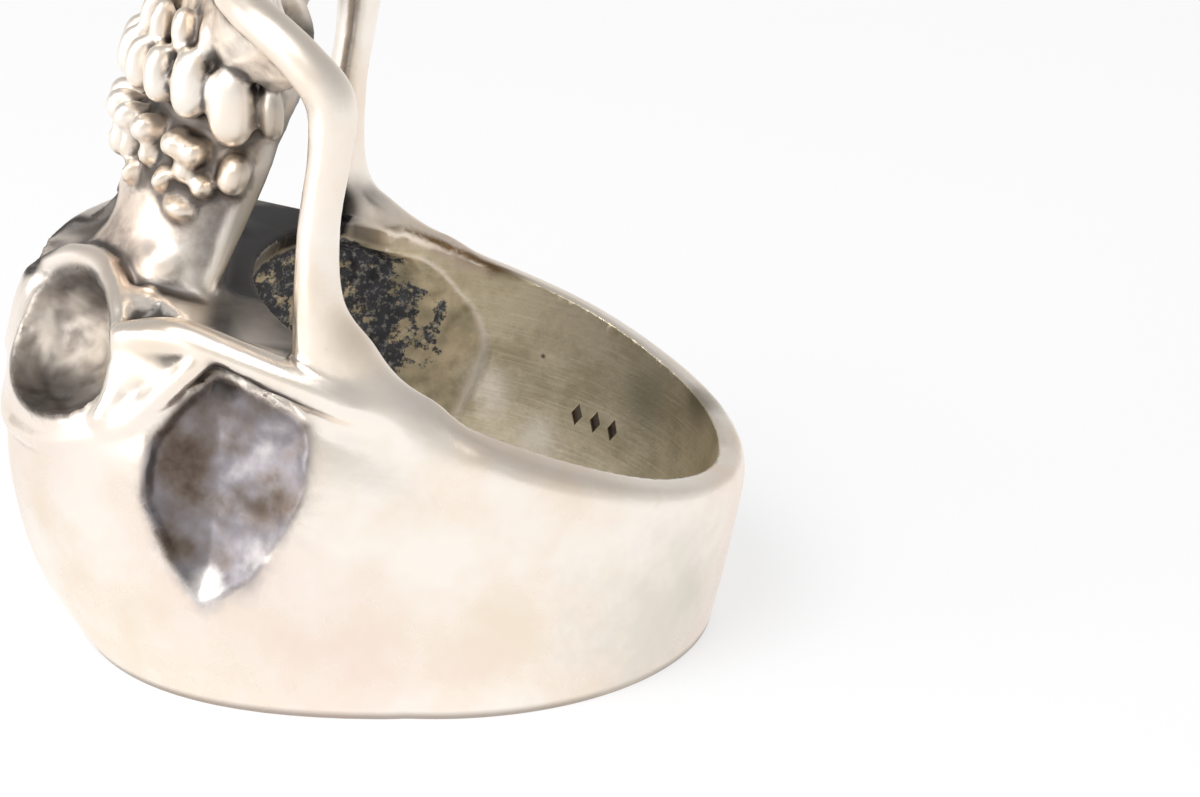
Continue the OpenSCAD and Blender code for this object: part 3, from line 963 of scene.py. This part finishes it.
# Finger hole: olive and tan tarnish in patches, with fine scratches round the hole from wearing
apart = add(tree, "ShaderNodeSeparateXYZ", {}, {"Vector": mm})
around = add(tree, "ShaderNodeMath", {"operation": "ARCTAN2"}, {0: apart.outputs["X"], 1: apart.outputs["Y"]})
arc = add(tree, "ShaderNodeMath", {"operation": "MULTIPLY", 1: hole_r}, {0: around.outputs[0]})
wall = add(tree, "ShaderNodeCombineXYZ", {}, {"X": arc.outputs[0], "Y": apart.outputs["Z"]})
rubs = add(tree, "ShaderNodeMapping", {"Scale": (0.35, 7, 1)}, {"Vector": wall.outputs["Vector"]})
scratch = add(tree, "ShaderNodeTexNoise", {"Scale": 1, "Detail": 5, "Roughness": 0.65},
              {"Vector": rubs.outputs["Vector"]})
patch = add(tree, "ShaderNodeTexNoise", {"Scale": 0.38, "Detail": 6, "Roughness": 0.68}, {"Vector": mm})
patch_step = add(tree, "ShaderNodeMapRange", {"From Min": 0.4, "From Max": 0.62},
                 {"Value": patch.outputs["Fac"]})
tarnish = add(tree, "ShaderNodeMix", {"data_type": "RGBA", 6: linear("#ecdfc4"), 7: linear("#c6ba9c")},
              {0: patch_step.outputs["Result"]})
scratch_step = add(tree, "ShaderNodeMapRange", {"From Min": 0.5, "From Max": 0.75, "To Max": 0.7},
                   {"Value": scratch.outputs["Fac"]})
tarnish = add(tree, "ShaderNodeMix", {"data_type": "RGBA", 7: linear("#f4ead6")},
              {0: scratch_step.outputs["Result"], 6: tarnish.outputs[2]})
metal = add(tree, "ShaderNodeMix", {"data_type": "RGBA"},
            {0: mesh_mark["bore"], 6: metal.outputs[2], 7: tarnish.outputs[2]})

# Hollow back: sandy tan skin of the mould with black oxide in ragged patches and specks
flake = add(tree, "ShaderNodeTexNoise", {"Scale": 0.85, "Detail": 9, "Roughness": 0.7}, {"Vector": mm})
deeper = add(tree, "ShaderNodeMapRange", {"From Min": 0.1, "From Max": 1.1, "To Min": -0.15, "To Max": 0.09},
             {"Value": mesh_mark["depth"]})
flake_sum = add(tree, "ShaderNodeMath", {"operation": "ADD"},
                {0: flake.outputs["Fac"], 1: deeper.outputs["Result"]})
flake_step = add(tree, "ShaderNodeMapRange", {"From Min": 0.49, "From Max": 0.53},
                 {"Value": flake_sum.outputs[0]})
sand = add(tree, "ShaderNodeMix", {"data_type": "RGBA", 6: linear("#dac9aa"), 7: linear("#ada388")},
           {0: patch_step.outputs["Result"]})
speck = add(tree, "ShaderNodeTexNoise", {"Scale": 3.6, "Detail": 3, "Roughness": 0.7}, {"Vector": mm})
speck_step = add(tree, "ShaderNodeMapRange", {"From Min": 0.52, "From Max": 0.66},
                 {"Value": speck.outputs["Fac"]})
charcoal = add(tree, "ShaderNodeMix", {"data_type": "RGBA", 6: linear("#56565a"), 7: linear("#a7a49d")},
               {0: speck_step.outputs["Result"]})
sandy = add(tree, "ShaderNodeMix", {"data_type": "RGBA"},
            {0: flake_step.outputs["Result"], 6: sand.outputs[2], 7: charcoal.outputs[2]})
metal = add(tree, "ShaderNodeMix", {"data_type": "RGBA"},
            {0: mesh_mark["cast"], 6: metal.outputs[2], 7: sandy.outputs[2]})

# Brown line of grime along the inner edge of the rim, where it climbs to the jaw
metal = add(tree, "ShaderNodeMix", {"data_type": "RGBA", 7: linear("#7d6548")},
            {0: mesh_mark["rim_line"], 6: metal.outputs[2]})

# Black oxide and painted shade in one charcoal, worn thin here and there
wear = add(tree, "ShaderNodeMapRange", {"From Min": 0.3, "From Max": 0.7, "To Min": 1, "To Max": 0.75},
           {"Value": blotch.outputs["Fac"]})
black_part = add(tree, "ShaderNodeMath", {"operation": "MULTIPLY"},
                 {0: mesh_mark["oxide_and_shade"], 1: wear.outputs["Result"]})
metal = add(tree, "ShaderNodeMix", {"data_type": "RGBA", 7: linear("#2f2d2e")},
            {0: black_part.outputs[0], 6: metal.outputs[2]})

# Painted contact shadow: a dark line round the foot, where the ring stands on the floor
from_bench = add(tree, "ShaderNodeSeparateXYZ", {}, {"Vector": object_place})
contact_shadow_line = add(tree, "ShaderNodeMapRange", {"interpolation_type": "SMOOTHSTEP", "From Min": 0.00006,
                                              "From Max": 0.0004, "To Min": 0.7, "To Max": 0},
                 {"Value": from_bench.outputs["Z"]})
metal = add(tree, "ShaderNodeMix", {"data_type": "RGBA", 7: linear("#80736a")},
            {0: contact_shadow_line.outputs["Result"], 6: metal.outputs[2]})

# Stains and wear in single places, with painted highlights and painted reflections among them: the spot in
# millimetres, how far it spreads, its tone and strength
stains_and_glints = [
    # Painted highlight: a white glint on the low tip of the temple hollow
    ((10.3, -10.1, 3.1), 1.1, "#fffaf6", 0.95),
    ((7.1, -9, 0.5), 1, "#a9b08a", 0.5),
    ((8.7, -7.5, 0.7), 0.6, "#a9b08a", 0.4),
    ((10.1, -5.5, 2.6), 0.7, "#9a8a7c", 0.35),
    # The back end of the band on the +X side is made greyer
    ((6.4, 9.5, 5.8), 1.8, "#bdb8ac", 0.5),
    ((8, 8.5, 5), 6.5, "#dcd6ca", 0.8),
    # Painted reflection: a bright warm streak on the far wall of the finger hole
    ((-9.8, 0.4, 6.6), 2, "#fff6e8", 0.95),
    ((-9.4, 3, 4.8), 1.6, "#fff6e8", 0.8),
    ((-4.1, 9, 10.3), 1.8, "#6f6650", 0.6),
    ((-7, 7, 8.6), 2, "#8f8a76", 0.5),
    ((-6.3, 7.6, 4.8), 1.4, "#9b8f70", 0.4),
    ((-1, 9.85, 6.5), 3.2, "#b79f6c", 0.5),
    ((-9.8, -1.5, 9.9), 0.4, "#7a7340", 0.6),
    ((-9.6, 2.3, 8.6), 0.16, "#2a241c", 0.9),
]
for spot, spread, tone, strength in stains_and_glints:
    to_spot = add(tree, "ShaderNodeVectorMath", {"operation": "DISTANCE", 1: spot}, {0: mm})
    ragged = add(tree, "ShaderNodeMath", {"operation": "MULTIPLY_ADD", 1: 1.2 * spread},
                 {0: patch.outputs["Fac"], 2: to_spot.outputs["Value"]})
    spot_step = add(tree, "ShaderNodeMapRange", {"interpolation_type": "SMOOTHSTEP", "From Min": 0.6 * spread,
                                                 "From Max": 1.6 * spread, "To Min": strength, "To Max": 0},
                    {"Value": ragged.outputs[0]})
    metal = add(tree, "ShaderNodeMix", {"data_type": "RGBA", 7: linear(tone)},
                {0: spot_step.outputs["Result"], 6: metal.outputs[2]})
tree.links.new(metal.outputs[2], shader.inputs["Base Color"])

# Roughness: polished with fine wear, duller where it is tarnished, dull where it is left from the mould
wear_rough = add(tree, "ShaderNodeMapRange", {"To Min": 0.2, "To Max": 0.34}, {"Value": cloud.outputs["Fac"]})
bore_rough = add(tree, "ShaderNodeMapRange", {"To Min": 0.38, "To Max": 0.6}, {"Value": patch.outputs["Fac"]})
rough = add(tree, "ShaderNodeMix", {}, {0: mesh_mark["bore"], 2: wear_rough.outputs["Result"],
                                        3: bore_rough.outputs["Result"]})
rough = add(tree, "ShaderNodeMix", {3: 0.4}, {0: mesh_mark["jaws"], 2: rough.outputs[0]})
rough = add(tree, "ShaderNodeMix", {3: 0.42}, {0: mesh_mark["temple"], 2: rough.outputs[0]})
rough = add(tree, "ShaderNodeMix", {3: 0.55}, {0: mesh_mark["cast"], 2: rough.outputs[0]})
rough = add(tree, "ShaderNodeMix", {3: 0.45}, {0: black_part.outputs[0], 2: rough.outputs[0]})
rough = add(tree, "ShaderNodeMix", {3: 0.6}, {0: mesh_mark["socket"], 2: rough.outputs[0]})
tree.links.new(rough.outputs[0], shader.inputs["Roughness"])

# Bump: hairlines of wear outside, scratches round the hole, grain of the mould in the hollow back
hairline = add(tree, "ShaderNodeTexNoise", {"Scale": 2.2, "Detail": 5, "Roughness": 0.6}, {"Vector": mm})
skin = add(tree, "ShaderNodeMath", {"operation": "MULTIPLY", 1: 0.25}, {0: hairline.outputs["Fac"]})
speck_part = add(tree, "ShaderNodeMath", {"operation": "MULTIPLY", 1: 0.6}, {0: speck.outputs["Fac"]})
grain = add(tree, "ShaderNodeMath", {"operation": "MULTIPLY_ADD", 1: 0.5},
            {0: scratch.outputs["Fac"], 2: speck_part.outputs[0]})
skin = add(tree, "ShaderNodeMix", {}, {0: mesh_mark["bore"], 2: skin.outputs[0], 3: grain.outputs[0]})
skin = add(tree, "ShaderNodeMix", {}, {0: mesh_mark["cast"], 2: skin.outputs[0], 3: flake.outputs["Fac"]})
relief = add(tree, "ShaderNodeBump", {"Strength": 0.5, "Distance": 0.00005}, {"Height": skin.outputs[0]})
tree.links.new(relief.outputs["Normal"], shader.inputs["Normal"])

casting.data.materials.clear()
casting.data.materials.append(silver)
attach(casting, "root")
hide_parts("skull_ring")

# Floor and light. The real ring was shown on a white sheet that runs up behind it, lit through, with
# one large soft lamp in front. The ring's side mirrors the sheet, and its upper faces the dim room.
paper_glow = 0.67
room_tones = [(0, "#f4f4f4"), (0.5, "#e8e7e6"), (0.6, "#d9d8d6"), (0.75, "#c2c1c1"), (1, "#b4b4b5")]
key_place = Vector((0.2, -0.13, 0.3))
key_size = 0.26
key_power = 0.75
pick()
bpy.ops.mesh.primitive_plane_add(size=4)
floor = bpy.context.object
floor.name = "floor"
paper = bpy.data.materials.new("paper")
paper.use_nodes = True
paper_shader = paper.node_tree.nodes["Principled BSDF"]
paper_shader.inputs["Base Color"].default_value = linear("#a0a0a1")
paper_shader.inputs["Roughness"].default_value = 0.9
paper_shader.inputs["Specular IOR Level"].default_value = 0.1
paper_shader.inputs["Emission Color"].default_value = linear("#ffffff")
paper_shader.inputs["Emission Strength"].default_value = paper_glow
floor.data.materials.append(paper)

world = bpy.data.worlds.new("room")
bpy.context.scene.world = world
world.use_nodes = True
room = world.node_tree
heading = add(room, "ShaderNodeTexCoord").outputs["Generated"]
height_of = add(room, "ShaderNodeSeparateXYZ", {}, {"Vector": heading})
height_step = add(room, "ShaderNodeMapRange", {"From Min": -1, "From Max": 1},
                  {"Value": height_of.outputs["Z"]})
room_ramp = add(room, "ShaderNodeValToRGB", {}, {"Fac": height_step.outputs["Result"]})
while len(room_ramp.color_ramp.elements) < len(room_tones):
    room_ramp.color_ramp.elements.new(0.5)
for stop, (place, tone) in zip(room_ramp.color_ramp.elements, room_tones):
    stop.position = place
    stop.color = linear(tone)
room.links.new(room_ramp.outputs["Color"], room.nodes["Background"].inputs["Color"])
room.nodes["Background"].inputs["Strength"].default_value = 1

pick()
bpy.ops.object.light_add(type="AREA", location=key_place)
key = bpy.context.object
key.name = "key_lamp"
key.data.shape = "DISK"
key.data.size = key_size
key.data.energy = key_power
key.rotation_mode = "QUATERNION"
key.rotation_quaternion = (key_place - Vector((0, 0, 0.015))).to_track_quat("Z", "Y")

# A white card at the front on the left, which the cheeks and the brow mirror
card_place = Vector((0.13, -0.27, 0.05))
card_size = 0.2
card_power = 0.36
pick()
bpy.ops.object.light_add(type="AREA", location=card_place)
card = bpy.context.object
card.name = "white_card"
card.data.shape = "SQUARE"
card.data.size = card_size
card.data.energy = card_power
card.rotation_mode = "QUATERNION"
card.rotation_quaternion = (card_place - Vector((0, -0.01, 0.012))).to_track_quat("Z", "Y")

# Camera. It looks at the ring's side from a little above, as in the photograph.
target = Vector((0, 0.0068, 0.0096))
distance = 0.198
elevation = math.radians(21.3)
azimuth = math.radians(90.5)
sideways = math.cos(elevation)
back = Vector((math.sin(azimuth) * sideways, -math.cos(azimuth) * sideways, math.sin(elevation)))
pick()
bpy.ops.object.camera_add(location=target + distance * back)
camera = bpy.context.object
camera.rotation_mode = "QUATERNION"
camera.rotation_quaternion = (-back).to_track_quat("-Z", "Y")
camera.data.lens = 139.8
camera.data.sensor_width = 36
camera.data.clip_start = 0.01
bpy.context.scene.camera = camera
bpy.context.scene.view_settings.view_transform = "Standard"
